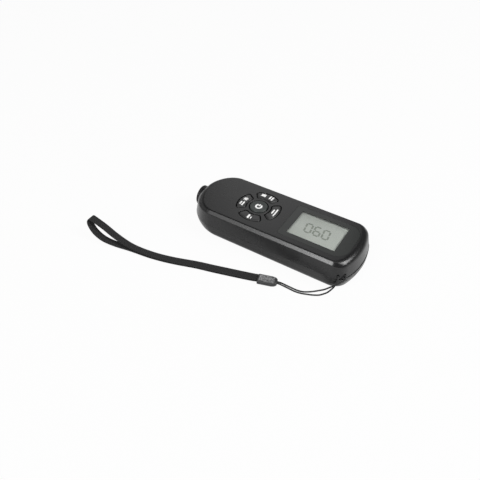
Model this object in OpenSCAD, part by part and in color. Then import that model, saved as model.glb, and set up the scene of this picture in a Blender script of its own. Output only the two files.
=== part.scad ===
// Handheld coating thickness gauge with a spring-loaded nose probe, a ring keypad and a wrist strap.
// It lies on its flat underside: +X points from the probe nose to the display end, +Z is up.

/* [Body] */
// Length of the housing, nose to display end
body_l = 119.1; // [112:0.1:130]
// Width of the housing at the parting line
body_w = 45; // [43:0.5:52]
// Height of the housing
body_h = 20; // [19.5:0.5:25]
// Thickness of the side walls
wall = 2; // [1.6:0.1:2.4]
// Thickness of the top wall
top_wall = 2.2; // [1.8:0.1:2.6]
// Thickness of the floor
floor_t = 2.4; // [2:0.1:3]
// Height of the parting line between the two shells
parting_z = 8.7; // [8:0.1:10]
// Height of the groove that shows between the two shells
reveal = 0.5; // [0.3:0.1:0.8]
// Inward lean of the upper walls over their height
draft = 0.9; // [0.3:0.1:1.5]
// Flat around the top edge
edge_chamfer = 2; // [1:0.1:2.5]
// Radius of the bottom edge
bottom_r = 4; // [3:0.1:4.2]
// How far the nose is drawn back at the underside
nose_rake = 6; // [3:0.5:7]
// How far the display end is drawn back at the underside
end_rake = 0.5; // [0:0.1:3]
// How far the lower shell stands out under the upper one at the display end
end_lip = 0.9; // [0.6:0.1:1.6]
// Plan radius of the nose corners
nose_r = 20; // [16:0.5:21]
// Plan radius of the display-end corners
end_r = 10; // [8:0.5:13]
// Plan radius of the slight bow across the nose
nose_bow_r = 100; // [60:5:200]
// Plan radius of the slight bow across the display end
end_bow_r = 48; // [44:2:120]
// Height of the trim line on the lower shell
trim_z = 5.7; // [5.2:0.1:6]
// Depth of the trim line
trim_d = 0.35; // [0.2:0.05:0.5]
// Height of the tongue that locates the two shells
tongue_h = 1.4; // [1:0.1:2]

/* [Display] */
// Length of the visible display as a share of the housing's length
view_share = 0.272; // [0.24:0.002:0.28]
// Width of the visible display
view_w = 23; // [20:0.5:24]
// From the display end of the upper shell to the visible display
view_from_end = 14.6; // [14:0.1:16]
// Length of the window panel as a share of the housing's length
window_share = 0.3864; // [0.36:0.002:0.41]
// Width of the window panel
window_w = 31; // [28:0.5:33]
// From the display end of the upper shell to the window panel
window_from_end = 6.2; // [5:0.1:7]
// Thickness of the window panel
window_t = 0.8; // [0.6:0.1:1]
// Corner radius of the window panel at the display end
window_end_r = 9; // [4:0.5:11]
// Thickness of the display glass
glass_t = 1.4; // [1:0.1:1.6]
// Margin of the display glass around the visible part
glass_margin = 1.8; // [1.5:0.1:2.5]

/* [Keypad] */
// From the nose to the middle of the keypad as a share of the housing's length
keypad_share = 0.372; // [0.36:0.002:0.39]
// Diameter of the power key
power_d = 11.7; // [10:0.1:12.5]
// Inner radius of the petal keys
petal_in = 9.2; // [8.8:0.1:9.8]
// Outer radius of the petal keys
petal_out = 14.4; // [13:0.1:15]
// Half of the angle that a petal key spans
petal_half = 34; // [28:1:35]
// Corner radius of the petal keys
petal_r = 1.3; // [0.5:0.1:1.8]
// Gap between a key and its opening
key_gap = 0.45; // [0.3:0.05:0.6]
// How far the keys stand above the top face
key_proud = 0.4; // [0.2:0.1:1]
// Travel of a pressed key
key_travel = 0.6; // [0.3:0.1:0.8]
// Width of the flange that keeps a key in its opening
key_flange = 0.8; // [0.6:0.1:1.2]

/* [Probe] */
// Height of the probe axis
probe_z = 10.5; // [10.3:0.1:11.2]
// Diameter of the collar
collar_d = 14; // [12.5:0.1:14.2]
// How far the collar stands out of the nose
collar_out = 1.6; // [1:0.1:4]
// Outside diameter of the collar's threaded tube
collar_tube_d = 10.8; // [10:0.1:11.2]
// Diameter of the sliding probe sleeve
sleeve_d = 8.4; // [7.6:0.1:8.6]
// Diameter of the pole pin and its measuring tip
tip_d = 3; // [2:0.1:3.6]
// How far the measuring tip stands out of the collar
tip_out = 1.5; // [1:0.1:2.5]
// Wire of the probe spring
probe_wire = 0.6; // [0.4:0.1:0.8]

/* [Power] */
// Diameter of a cell
cell_d = 10.5; // [10:0.1:10.8]
// Length of a cell over its terminal
cell_l = 44.5; // [42:0.5:45.5]
// Room for the contacts beyond the cell's length
contact_room = 5.5; // [5:0.1:6.5]
// From the display end of the upper shell to the cell bay
bay_from_end = 15.8; // [15:0.1:18]
// Thickness of the door's outer plate
door_t = 1; // [0.8:0.1:1.2]
// Width of the ledge that the door closes on
door_ledge = 2.4; // [2:0.1:3]
// Thickness of the circuit board
board_t = 1; // [0.8:0.1:1.2]

/* [Strap] */
// Width of a lanyard slot
slot_w = 1.5; // [1.4:0.1:2]
// Height of a lanyard slot
slot_h = 3; // [2.6:0.1:3.4]
// Diameter of the lanyard cord
cord_d = 1; // [0.8:0.1:1.1]
// Width of the webbing
web_w = 5; // [4.5:0.1:5.4]
// Thickness of the webbing
web_t = 0.8; // [0.6:0.1:0.9]
// Length of the slider
slider_l = 12.2; // [11:0.1:14]
// Width of the slider at the webbing
slider_w = 7; // [6.6:0.1:8]
// Height of the slider
slider_h = 3.1; // [3:0.1:4]

/* [Fits] */
// Clearance between fixed pieces
fit = 0.1; // [0.05:0.01:0.15]
// Clearance between sliding pieces
slide_fit = 0.3; // [0.2:0.05:0.35]

/* [Hidden] */
$fn = 48;
corner_steps = 10;
bow_steps = 4;
edge_steps = 5;

// The origin is midway between the measuring tip and the display end.
probe_out = collar_out + tip_out;
nose_x = (probe_out - body_l) / 2;
end_x = nose_x + body_l - end_lip;
half_w = body_w / 2;
ceiling_z = body_h - top_wall;

// Display stack, from the window down to the board, and the cell bay below it.
view_l = view_share * body_l;
window_l = window_share * body_l;
view_x1 = end_x - view_from_end;
view_x0 = view_x1 - view_l;
window_x1 = end_x - window_from_end;
window_x0 = window_x1 - window_l;
window_recess = 0.15;
window_small_r = 2;
glass_x0 = view_x0 - glass_margin;
glass_x1 = view_x1 + glass_margin;
glass_half_w = view_w / 2 + glass_margin;
glass_top = body_h - window_recess - window_t - fit;
glass_bottom = glass_top - glass_t;
bay_roof_t = 0.8;
bay_wall = 1.2;
door_recess = 0.2;
door_seat_z = door_recess + door_t + fit;
door_plug_t = 0.6;
cell_z = door_recess + door_t + door_plug_t + fit + cell_d / 2;
cell_y = cell_d / 2 + fit;
bay_roof_z = cell_z + cell_d / 2 + 2 * fit;
bay_half_w = cell_y + cell_d / 2 + 2 * fit;
bay_x1 = end_x - bay_from_end;
bay_x0 = bay_x1 - cell_l - contact_room;
board_z0 = bay_roof_z + bay_roof_t + 2 * fit;
board_top = board_z0 + board_t;
board_half_w = 17.5;
board_nose_gap = 25.5;
board_x0 = nose_x + board_nose_gap;
board_x1 = glass_x1 + 2 * fit;

// Keys, their flanges and the switches under them.
keypad_x = nose_x + keypad_share * body_l;
key_top = body_h + key_proud;
flange_t = 0.8;
flange_top = ceiling_z - slide_fit;
flange_bottom = flange_top - flange_t;
switch_top = flange_bottom - key_travel - fit;
switch_w = 6;
petal_mid = (petal_in + petal_out) / 2;
PETAL_TURN = [for (i = [0:3]) 180 - 90 * i];
plunger_d = 3;

// Probe: the collar seats on a thick nose wall, and the sleeve slides in its tube.
collar_face_x = nose_x - collar_out;
collar_seat_in = 2;
collar_seat_x = nose_x + collar_seat_in;
nose_wall_t = 5.5;
nose_wall_x1 = nose_x + nose_wall_t;
nose_wall_half = 10;
nut_d = 13;
nut_t = 2.4;
nut_x1 = nose_wall_x1 + nut_t;
collar_tube_x1 = nut_x1 + 1;
sleeve_recess = 0.2;
sleeve_flange_d = 10.2;
sleeve_flange_t = 1.2;
sleeve_flange_x = collar_tube_x1 + slide_fit;
sleeve_x1 = sleeve_flange_x + sleeve_flange_t;
sleeve_wall = 0.9;
sleeve_front_t = 1;
core_disc_t = 1;
spring_d = 8;
spring_l = 6.2;
spring_turns = 5;
stop_x = sleeve_x1 + spring_l;
stop_t = 1.5;
stop_half_w = 6;

// Screws
boss_r = 3;
shell_screw_d = 2;
shell_head_d = 4;
shell_head_h = 1.6;
shell_head_z = 3.2;
shell_screw_top = 14;
board_screw_d = 1.6;
board_head_d = 3.2;
board_head_h = 1;
standoff_r = 2.2;
boss_nose_in = 22;
boss_end_in = 9.3;
boss_y = 13;
BOSSES = [for (s = [-1, 1]) each [[nose_x + boss_nose_in, s * boss_y], [end_x - boss_end_in, s * boss_y]]];
standoff_y = 15;
standoff_nose_in = 29;
STANDOFFS = [for (s = [-1, 1]) each [[nose_x + standoff_nose_in, s * standoff_y],
  [window_x0 - 2.5, s * standoff_y]]];

// Two lanyard slots in the near display-end corner
corner_phi = asin((half_w - end_r) / (end_bow_r - end_r));
corner_at = [end_x - end_bow_r + (end_bow_r - end_r) * cos(corner_phi), end_r - half_w];
slot_z = parting_z + 0.6;
slot_turn = -57;
slot_step = 24;
slot_over = 2;
SLOT_TURN = [slot_turn, slot_turn + slot_step];

// Lanyard cord: slider, first slot, behind the wall, second slot and back to the slider
CORD = [
  [19.7, -36.9, 1.7], [23.21, -35.8, 1.53], [26.81, -35.28, 0.91], [30.49, -35.13, 0.65],
  [34.18, -35.06, 0.59], [37.78, -34.31, 0.6], [40.96, -32.46, 0.6], [43.82, -30.13, 0.59],
  [46.51, -27.6, 0.69], [48.15, -26.42, 1.13], [49.48, -25.37, 1.81], [50.25, -24.87, 2.37],
  [51.02, -24.45, 3.01], [51.78, -24.13, 3.7], [52.53, -23.87, 4.43], [53.28, -23.62, 5.17],
  [54.03, -23.33, 5.9], [54.77, -22.96, 6.59], [55.49, -22.5, 7.24], [56.17, -21.93, 7.85],
  [56.82, -21.28, 8.42], [57.4, -20.57, 9], [57.83, -19.83, 9.65], [57.8, -19.04, 10.35],
  [57.1, -18.35, 10.75], [56.22, -17.74, 10.82], [55.29, -17.19, 10.81], [54.26, -16.91, 10.8],
  [53.24, -17.21, 10.8], [52.58, -18.05, 10.8], [52.53, -19.11, 10.81], [52.98, -20.08, 10.83],
  [53.58, -20.98, 10.78], [54.13, -21.75, 10.31], [54.3, -22.07, 9.32], [54.15, -22.06, 8.25],
  [53.93, -22.03, 7.19], [53.72, -22.09, 6.14], [53.51, -22.27, 5.09], [53.25, -22.58, 4.09],
  [52.93, -23.06, 3.18], [52.54, -23.71, 2.42], [52.11, -24.5, 1.82], [51.66, -25.37, 1.38],
  [50.95, -26.95, 0.95], [49.81, -28.58, 0.66], [47.5, -31.36, 0.6], [44.42, -33.29, 0.6],
  [41.06, -34.71, 0.6], [37.64, -35.96, 0.6], [34.06, -36.58, 0.59], [30.42, -36.58, 0.65],
  [26.79, -36.67, 0.92], [23.22, -37.11, 1.52], [19.7, -38, 1.7]
];
// Webbing: x, y, z, plan direction of its width and tilt of its width. Out along the surface, over and back
WEB = [
  [13.2, -38.8, 1.15, 107, 0], [9.7, -39.9, 1.15, 107, 2], [4.2, -41.5, 0.9, 106, 5],
  [-7.8, -44.9, 0.85, 105, 6], [-18.8, -47.9, 0.75, 105, 5], [-28.8, -50.5, 0.7, 106, 3],
  [-44.8, -55.6, 0.6, 105, -1], [-58.8, -59, 0.75, 102, -4], [-72.8, -61.1, 1.1, 99, -5],
  [-83.8, -63.4, 1.7, 96, -3], [-92.8, -64.9, 3.2, 93, -2], [-99.8, -64.7, 5.8, 90, 0],
  [-104.8, -63.2, 8.4, 88, 5], [-107.1, -61.7, 10.6, 86, 7], [-106.4, -60.5, 12.1, 86, 6],
  [-102.8, -60.4, 11.5, 88, 2], [-95.8, -60.2, 9, 90, 0], [-84.8, -60.4, 4.9, 93, -1],
  [-72.8, -60.4, 2.6, 98, -3], [-58.8, -58.7, 1.85, 102, -4], [-44.8, -55.5, 1.65, 105, -1],
  [-28.8, -50.5, 1.75, 106, 3], [-18.8, -47.9, 1.8, 105, 5], [-7.8, -44.9, 1.9, 105, 6],
  [4.2, -41.5, 1.95, 106, 5], [9.7, -39.9, 2.2, 107, 2], [13.2, -38.8, 2.2, 107, 0]
];
SLIDER_AT = [15.8, -38.6];
slider_turn = 17;

// Points of a housing end that faces +X: corner arc, bow, corner arc
function end_points(x, w, r, bow) =
  let (phi = asin((w - r) / (bow - r)), c = [x - bow + (bow - r) * cos(phi), w - r])
  concat(
    [for (i = [0:corner_steps]) let (a = -90 + (90 - phi) * i / corner_steps)
      [c.x + r * cos(a), r * sin(a) - c.y]],
    [for (i = [1:bow_steps - 1]) let (a = phi * (2 * i / bow_steps - 1))
      [x - bow + bow * cos(a), bow * sin(a)]],
    [for (i = [0:corner_steps]) let (a = phi + (90 - phi) * i / corner_steps)
      [c.x + r * cos(a), r * sin(a) + c.y]]);

// Share of the rake that an end has at a height: none at the parting line, all of it at the underside
function under(z) = pow(max(0, 1 - z / parting_z), 2);

// Housing outline at a height, inset from the full outline; the lip moves the display end outward
function ring(z, inset, lip = 0) = [for (p = concat(
    end_points(end_x + lip - inset - end_rake * under(z), half_w - inset, end_r - inset, end_bow_r - inset),
    -end_points(-nose_x - inset - nose_rake * under(z), half_w - inset, nose_r - inset, nose_bow_r - inset)))
  [p.x, p.y, z]];

// Solid through a stack of rings with equal point counts
module loft(rings) {
  n = len(rings[0]);
  m = len(rings);
  polyhedron(
    points = [for (r = rings) each r],
    faces = concat(
      [[for (i = [0:n - 1]) i]],
      [[for (i = [0:n - 1]) m * n - 1 - i]],
      [for (k = [0:m - 2], i = [0:n - 1]) [k * n + i, k * n + n + i, k * n + n + (i + 1) % n]],
      [for (k = [0:m - 2], i = [0:n - 1]) [k * n + i, k * n + n + (i + 1) % n, k * n + (i + 1) % n]]));
}

// Smooth curve through the points, with the given number of steps between them
function curve(pts, steps) = let (n = len(pts) - 1) concat(
  [for (i = [0:n - 1], s = [0:steps - 1]) let (
      u = s / steps, p0 = pts[max(i - 1, 0)], p1 = pts[i], p2 = pts[i + 1], p3 = pts[min(i + 2, n)])
    0.5 * (2 * p1 + (p2 - p0) * u + (2 * p0 - 5 * p1 + 4 * p2 - p3) * u * u
      + (3 * p1 - p0 - 3 * p2 + p3) * u * u * u)],
  [pts[n]]);
function unit(v) = v / norm(v);
function at(p) = [p.x, p.y, p.z];
function heading(pts, i) = unit(at(pts[min(i + 1, len(pts) - 1)]) - at(pts[max(i - 1, 0)]));

// Round tube along a path
module tube(path, d, sides) {
  loft([for (i = [0:len(path) - 1]) let (
      t = heading(path, i), u = unit(cross([0, 0, 1], t)), v = cross(t, u))
    [for (k = [0:sides - 1]) at(path[i]) + d / 2 * (u * cos(360 * k / sides) + v * sin(360 * k / sides))]]);
}

// Flat band with rounded edges along a path that also holds the direction of its width
module band(path, w, t) {
  edge = [[1, 0.4], [0.85, 1], [-0.85, 1], [-1, 0.4], [-1, -0.4], [-0.85, -1], [0.85, -1], [1, -0.4]];
  loft([for (i = [0:len(path) - 1]) let (
      p = path[i], h = heading(path, i),
      u = [cos(p[3]) * cos(p[4]), sin(p[3]) * cos(p[4]), sin(p[4])], v = unit(cross(h, u)))
    [for (e = edge) at(p) + u * e.x * w / 2 + v * e.y * t / 2]]);
}

// Wire coil along +X that starts at x = 0
module coil(d, length, turns, wire) {
  steps = 14;
  r = (d - wire) / 2;
  n = turns * steps;
  loft([for (i = [0:n]) let (
      a = 360 * i / steps, x = wire / 2 + (length - wire) * i / n, out = [0, cos(a), sin(a)],
      t = unit([(length - wire) / n * steps / 360 * 57.2958, -r * sin(a), r * cos(a)]), b = cross(t, out))
    [for (k = [0:5]) [x, 0, 0] + out * (r + wire / 2 * cos(60 * k)) + b * wire / 2 * sin(60 * k)]]);
}

// Cylinder along +X between two positions on the probe axis
module on_axis(x0, x1, d) {
  translate([x0, 0, probe_z]) rotate([0, 90, 0]) cylinder(h = x1 - x0, d = d);
}

// Turned piece on the probe axis: its profile is radius against x
module turned(profile) {
  translate([0, 0, probe_z]) rotate([0, 90, 0]) rotate_extrude() polygon(profile);
}

// Plan of the window panel, grown by a clearance
module window_plan(grow) {
  hull() for (s = [-1, 1]) {
    translate([window_x0 + window_small_r, s * (window_w / 2 - window_small_r)])
      circle(window_small_r + grow, $fn = 32);
    translate([window_x1 - window_end_r, s * (window_w / 2 - window_end_r)])
      circle(window_end_r + grow, $fn = 48);
  }
}

// Plan of one petal key that points along +X from the keypad's middle, grown by a clearance
module petal_plan(grow) {
  offset(petal_r + grow, $fn = 24) offset(delta = -petal_r) polygon(concat(
    [for (i = [0:8]) petal_out * [cos(petal_half * (i / 4 - 1)), sin(petal_half * (i / 4 - 1))]],
    [for (i = [0:8]) petal_in * [cos(petal_half * (1 - i / 4)), sin(petal_half * (1 - i / 4))]]));
}

// Slot cutters for the lanyard
module lanyard_slots() {
  for (a = SLOT_TURN) translate([corner_at.x, corner_at.y, slot_z]) rotate(a)
    translate([end_r - wall - slot_over, -slot_w / 2, 0]) cube([wall + 2 * slot_over, slot_w, slot_h]);
}

// Cutters for the collar and its tube in the nose
module nose_bore() {
  on_axis(nose_x - collar_out, collar_seat_x, collar_d + 4 * fit);
  on_axis(collar_seat_x - fit, nose_wall_x1 + fit, collar_tube_d + 2 * fit);
}

// Thick wall behind the nose, between two heights
module nose_wall(z0, z1) {
  translate([nose_x, -nose_wall_half, z0]) cube([nose_wall_x1 - nose_x, 2 * nose_wall_half, z1 - z0]);
}

top_rings = [
  ring(parting_z + reveal / 2, 0), ring(body_h - edge_chamfer, draft), ring(body_h, draft + edge_chamfer)
];
// Height and inset of the lower shell's rings: rounded bottom edge, trim line, parting line
BOTTOM = concat(
  [for (i = [0:edge_steps]) let (a = 90 * i / edge_steps)
    [bottom_r * (1 - cos(a)), bottom_r * (1 - sin(a))]],
  [[trim_z - 1.5 * trim_d, 0], [trim_z - trim_d / 2, trim_d], [trim_z + trim_d / 2, trim_d],
    [trim_z + 1.5 * trim_d, 0], [parting_z - reveal / 2, 0]]);
bottom_rings = [for (b = BOTTOM) ring(b[0], b[1], end_lip)];

module top_shell() {
  tongue_top = parting_z + tongue_h + fit;
  color("#3a3a3a") difference() {
    union() {
      difference() {
        loft(top_rings);
        loft([ring(parting_z - 1, wall / 2), ring(tongue_top, wall / 2), ring(tongue_top, wall),
          ring(ceiling_z, wall + draft)]);
      }
      intersection() {
        loft(top_rings);
        nose_wall(parting_z, ceiling_z);
      }
      for (b = BOSSES) translate([b.x, b.y, parting_z])
        cylinder(h = ceiling_z - parting_z + fit, r = boss_r);
      for (b = STANDOFFS) translate([b.x, b.y, board_top])
        cylinder(h = ceiling_z - board_top + fit, r = standoff_r);
    }
    // Window pocket and the opening over the display
    translate([0, 0, body_h - window_recess - window_t]) linear_extrude(window_t + 1) window_plan(fit);
    translate([glass_x0 - 2 * fit, -glass_half_w - 2 * fit, ceiling_z - 1])
      cube([glass_x1 - glass_x0 + 4 * fit, 2 * glass_half_w + 4 * fit, top_wall + fit]);
    // Key openings
    translate([keypad_x, 0, ceiling_z - 1]) cylinder(h = top_wall + 2, d = power_d + 2 * key_gap);
    for (a = PETAL_TURN) translate([keypad_x, 0, ceiling_z - 1]) rotate(a)
      linear_extrude(top_wall + 2) petal_plan(key_gap);
    nose_bore();
    lanyard_slots();
    for (b = BOSSES) translate([b.x, b.y, parting_z - 1])
      cylinder(h = shell_screw_top - parting_z + 1.5, d = shell_screw_d + fit);
    for (b = STANDOFFS) translate([b.x, b.y, board_top - 1])
      cylinder(h = ceiling_z - board_top + 0.5, d = board_screw_d + fit);
  }
}

module bottom_shell() {
  color("#343434") difference() {
    union() {
      difference() {
        loft(bottom_rings);
        loft([ring(floor_t, wall + bottom_r / 3), ring(bottom_r, wall), ring(parting_z, wall)]);
      }
      difference() {
        loft([ring(parting_z - reveal / 2 - 1, wall / 2 + fit), ring(parting_z + tongue_h, wall / 2 + fit)]);
        loft([ring(parting_z - reveal - 2, wall), ring(parting_z + tongue_h + 1, wall)]);
        nose_wall(parting_z, parting_z + 2 * tongue_h);
      }
      intersection() {
        loft(bottom_rings);
        nose_wall(fit, parting_z);
      }
      // Cell bay, its roof and the stop behind the probe spring
      translate([bay_x0 - bay_wall, -bay_half_w - bay_wall, door_seat_z])
        cube([bay_x1 - bay_x0 + 2 * bay_wall, 2 * (bay_half_w + bay_wall),
          bay_roof_z + bay_roof_t - door_seat_z]);
      translate([stop_x, -stop_half_w, floor_t - fit])
        cube([stop_t, 2 * stop_half_w, probe_z + spring_d / 2 + 0.5 - floor_t]);
      for (b = BOSSES) translate([b.x, b.y, floor_t - fit])
        cylinder(h = parting_z - floor_t + fit, r = boss_r);
    }
    translate([bay_x0, -bay_half_w, -1]) cube([bay_x1 - bay_x0, 2 * bay_half_w, bay_roof_z + 1]);
    // Seat of the door
    translate([bay_x0 - door_ledge, -bay_half_w - door_ledge, -1])
      cube([bay_x1 - bay_x0 + 2 * door_ledge, 2 * (bay_half_w + door_ledge), door_seat_z + 1]);
    nose_bore();
    lanyard_slots();
    for (b = BOSSES) translate([b.x, b.y, -1]) {
      cylinder(h = shell_head_z + 1, d = shell_head_d + 4 * fit);
      cylinder(h = parting_z + 2, d = shell_screw_d + 2 * fit);
    }
  }
}

module battery_door() {
  gap = slide_fit;
  grip_ribs = 5;
  rib_pitch = 1.6;
  rib_l = 12;
  color("#343434") difference() {
    union() {
      translate([bay_x0 - door_ledge + gap, -bay_half_w - door_ledge + gap, door_recess])
        cube([bay_x1 - bay_x0 + 2 * (door_ledge - gap), 2 * (bay_half_w + door_ledge - gap), door_t]);
      translate([bay_x0 + gap, -bay_half_w + gap, door_recess])
        cube([bay_x1 - bay_x0 - 2 * gap, 2 * (bay_half_w - gap), door_t + door_plug_t]);
    }
    // Grip grooves for the thumb
    for (i = [0:grip_ribs - 1]) translate([bay_x1 - 3 - i * rib_pitch, -rib_l / 2, door_recess - 1])
      cube([0.8, rib_l, 1.4]);
  }
}

module display_window() {
  color("#20262299") translate([0, 0, body_h - window_recess - window_t])
    linear_extrude(window_t) window_plan(-fit);
}

module lcd_glass() {
  color("#a3aa9c") translate([glass_x0, -glass_half_w, glass_bottom])
    cube([glass_x1 - glass_x0, 2 * glass_half_w, glass_t]);
}

// Elastomer strip position along the near edge of the glass
zebra_w = 1.8;
zebra_y = fit - glass_half_w;
zebra_in = 3;

module lcd_frame() {
  color("#d8d8d2") difference() {
    translate([glass_x0, -glass_half_w, board_top])
      cube([glass_x1 - glass_x0, 2 * glass_half_w, glass_bottom - board_top]);
    translate([glass_x0 + zebra_in - fit, zebra_y - 1, board_top - 1])
      cube([glass_x1 - glass_x0 - 2 * (zebra_in - fit), zebra_w + 1 + fit, glass_bottom - board_top + 2]);
  }
}

module zebra_strip() {
  color("#c9a3a3") translate([glass_x0 + zebra_in, zebra_y, board_top])
    cube([glass_x1 - glass_x0 - 2 * zebra_in, zebra_w, glass_bottom - board_top]);
}

module main_board() {
  color("#2f6b3c") difference() {
    translate([board_x0, -board_half_w, board_z0]) cube([board_x1 - board_x0, 2 * board_half_w, board_t]);
    for (b = STANDOFFS) translate([b.x, b.y, board_z0 - 1])
      cylinder(h = board_t + 2, d = board_screw_d + 2 * fit);
  }
}

module controller_chip() {
  chip_w = 7;
  chip_t = 1.2;
  chip_in = 10;
  color("#1c1c1c") translate([keypad_x - chip_in, boss_y - chip_w, board_z0 - chip_t])
    cube([chip_w, chip_w, chip_t]);
}

module buzzer() {
  buzzer_d = 12;
  buzzer_h = 3;
  sound_hole_d = 2;
  edge_gap = 0.5;
  color("#1c1c1c") translate([board_x0 + buzzer_d / 2 + edge_gap, 0, board_z0 - buzzer_h]) difference() {
    cylinder(h = buzzer_h, d = buzzer_d);
    translate([0, 0, -1]) cylinder(h = 1 + buzzer_h / 3, d = sound_hole_d);
  }
}

module key_switches() {
  can_t = (switch_top - board_top) * 0.7;
  color("#8f8f8f") for (c = concat([[0, 0]], [for (a = PETAL_TURN) petal_mid * [cos(a), sin(a)]]))
    translate([keypad_x + c.x, c.y, board_top]) {
      translate([-switch_w / 2, -switch_w / 2, 0]) cube([switch_w, switch_w, can_t]);
      cylinder(h = switch_top - board_top, d = plunger_d);
    }
}

module power_key() {
  bevel = 0.4;
  dish = 0.25;
  r = power_d / 2;
  color("#353b38") translate([keypad_x, 0, 0]) rotate_extrude() polygon([
    [0, flange_bottom], [r + key_flange, flange_bottom], [r + key_flange, flange_top], [r, flange_top],
    [r, key_top - bevel], [r - bevel, key_top], [0, key_top - dish]]);
}

// One petal key, turned about the keypad's middle
module petal_key(turn) {
  color("#353535") translate([keypad_x, 0, 0]) rotate(turn) {
    translate([0, 0, flange_bottom]) linear_extrude(flange_t) petal_plan(key_flange);
    translate([0, 0, flange_bottom]) linear_extrude(key_top - flange_bottom) petal_plan(0);
  }
}
module nose_key() { petal_key(PETAL_TURN[0]); }
module far_key() { petal_key(PETAL_TURN[1]); }
module display_key() { petal_key(PETAL_TURN[2]); }
module near_key() { petal_key(PETAL_TURN[3]); }

// Screw that points up: head below z = 0, shank above
module screw(head_d, head_h, shank_d, shank_l) {
  translate([0, 0, -head_h]) difference() {
    cylinder(h = head_h, d = head_d);
    for (a = [0, 90]) rotate(a) translate([-head_d / 4, -0.25, -1]) cube([head_d / 2, 0.5, 1 + head_h / 2]);
  }
  cylinder(h = shank_l, d = shank_d);
}

module board_screws() {
  color("#b5b5b5") for (b = STANDOFFS) translate([b.x, b.y, board_z0])
    screw(board_head_d, board_head_h, board_screw_d, ceiling_z - board_z0 - 1);
}

module housing_screws() {
  color("#b5b5b5") for (b = BOSSES) translate([b.x, b.y, shell_head_z])
    screw(shell_head_d, shell_head_h, shell_screw_d, shell_screw_top - shell_head_z);
}

module probe_collar() {
  edge = 0.6;
  r = collar_d / 2;
  bore = sleeve_d / 2 + slide_fit;
  tube_r = collar_tube_d / 2;
  color("#262626") turned([
    [bore, collar_face_x + edge / 2], [bore + edge / 2, collar_face_x], [r - edge, collar_face_x],
    [r, collar_face_x + edge], [r, collar_seat_x], [tube_r, collar_seat_x], [tube_r, collar_tube_x1],
    [bore, collar_tube_x1]]);
}

module collar_nut() {
  key_slot_w = 1.5;
  key_slot_in = 0.6;
  color("#c2a35a") difference() {
    on_axis(nose_wall_x1, nut_x1, nut_d);
    on_axis(nose_wall_x1 - 1, nut_x1 + 1, collar_tube_d + fit);
    for (a = [0:90:270]) translate([nut_x1, 0, probe_z]) rotate([a, 0, 0])
      translate([-nut_t / 2, -key_slot_w / 2, nut_d / 2 - key_slot_in])
        cube([nut_t, key_slot_w, 2 * key_slot_in]);
  }
}

module probe_sleeve() {
  edge = 0.4;
  r = sleeve_d / 2;
  x0 = collar_face_x + sleeve_recess;
  bore = r - sleeve_wall;
  color("#8c8c8c") turned([
    [tip_d / 2 + fit, x0], [r - edge, x0], [r, x0 + edge], [r, sleeve_flange_x],
    [sleeve_flange_d / 2, sleeve_flange_x], [sleeve_flange_d / 2, sleeve_x1], [bore, sleeve_x1],
    [bore, x0 + sleeve_front_t], [tip_d / 2 + fit, x0 + sleeve_front_t]]);
}

module probe_core() {
  r = tip_d / 2;
  tip_x = collar_face_x - tip_out;
  disc_r = sleeve_d / 2 - sleeve_wall - fit;
  color("#d0d0d0") turned(concat(
    [for (a = [0:15:90]) [r * sin(a), tip_x + r * (1 - cos(a))]],
    [[r, sleeve_x1 - core_disc_t], [disc_r, sleeve_x1 - core_disc_t], [disc_r, sleeve_x1], [0, sleeve_x1]]));
}

module probe_coil() {
  x0 = collar_face_x + sleeve_recess + sleeve_front_t + fit;
  r_in = tip_d / 2 + fit;
  r_out = sleeve_d / 2 - sleeve_wall - 2 * fit;
  color("#b06a35") turned([
    [r_in, x0], [r_out, x0], [r_out, sleeve_x1 - core_disc_t - fit], [r_in, sleeve_x1 - core_disc_t - fit]]);
}

module probe_spring() {
  color("#b5b5b5") translate([sleeve_x1 + fit, 0, probe_z])
    coil(spring_d, spring_l - 2 * fit, spring_turns, probe_wire);
}

// Terminal ends: how far the nub and the contact plate stand off
nub_l = 0.8;
plate_t = 0.4;
dimple_l = 1;

// Cell whose terminal nub points along +X
module cell() {
  color("#5f6b74") rotate([0, 90, 0]) {
    cylinder(h = cell_l - nub_l, d = cell_d);
    cylinder(h = cell_l, d = 3.8);
  }
}
cell_seat = plate_t + dimple_l + 2 * fit;
module cell_near() { translate([bay_x1 - cell_seat - cell_l, -cell_y, cell_z]) cell(); }
module cell_far() { translate([bay_x0 + cell_seat + cell_l, cell_y, cell_z]) rotate(180) cell(); }

// Contact springs press on the flat ends of the cells
contact_spring_l = contact_room - plate_t - cell_seat - 3 * fit;
contact_spring_d = cell_d * 0.57;
contact_wire = 0.5;
contact_turns = 3;
module battery_springs() {
  color("#c9c9c9") {
    translate([bay_x0 + plate_t + 2 * fit, -cell_y, cell_z])
      coil(contact_spring_d, contact_spring_l, contact_turns, contact_wire);
    translate([bay_x1 - plate_t - 2 * fit, cell_y, cell_z]) rotate(180)
      coil(contact_spring_d, contact_spring_l, contact_turns, contact_wire);
  }
}

module battery_plates() {
  plate_w = 8;
  color("#c9c9c9") for (s = [-1, 1], e = [0, 1]) {
    x = e == 0 ? bay_x0 + fit : bay_x1 - fit - plate_t;
    translate([x, s * cell_y - plate_w / 2, cell_z - plate_w / 2]) cube([plate_t, plate_w, plate_w]);
    // A dimple on the plates that meet a nub
    if ((s < 0) == (e == 1)) translate([e == 0 ? x + plate_t : x - dimple_l, s * cell_y, cell_z])
      rotate([0, 90, 0]) cylinder(h = dimple_l, d = 2.6);
  }
}

module lanyard_cord() {
  color("#1d1d1d") tube(curve(CORD, 2), cord_d, 8);
}

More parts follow.
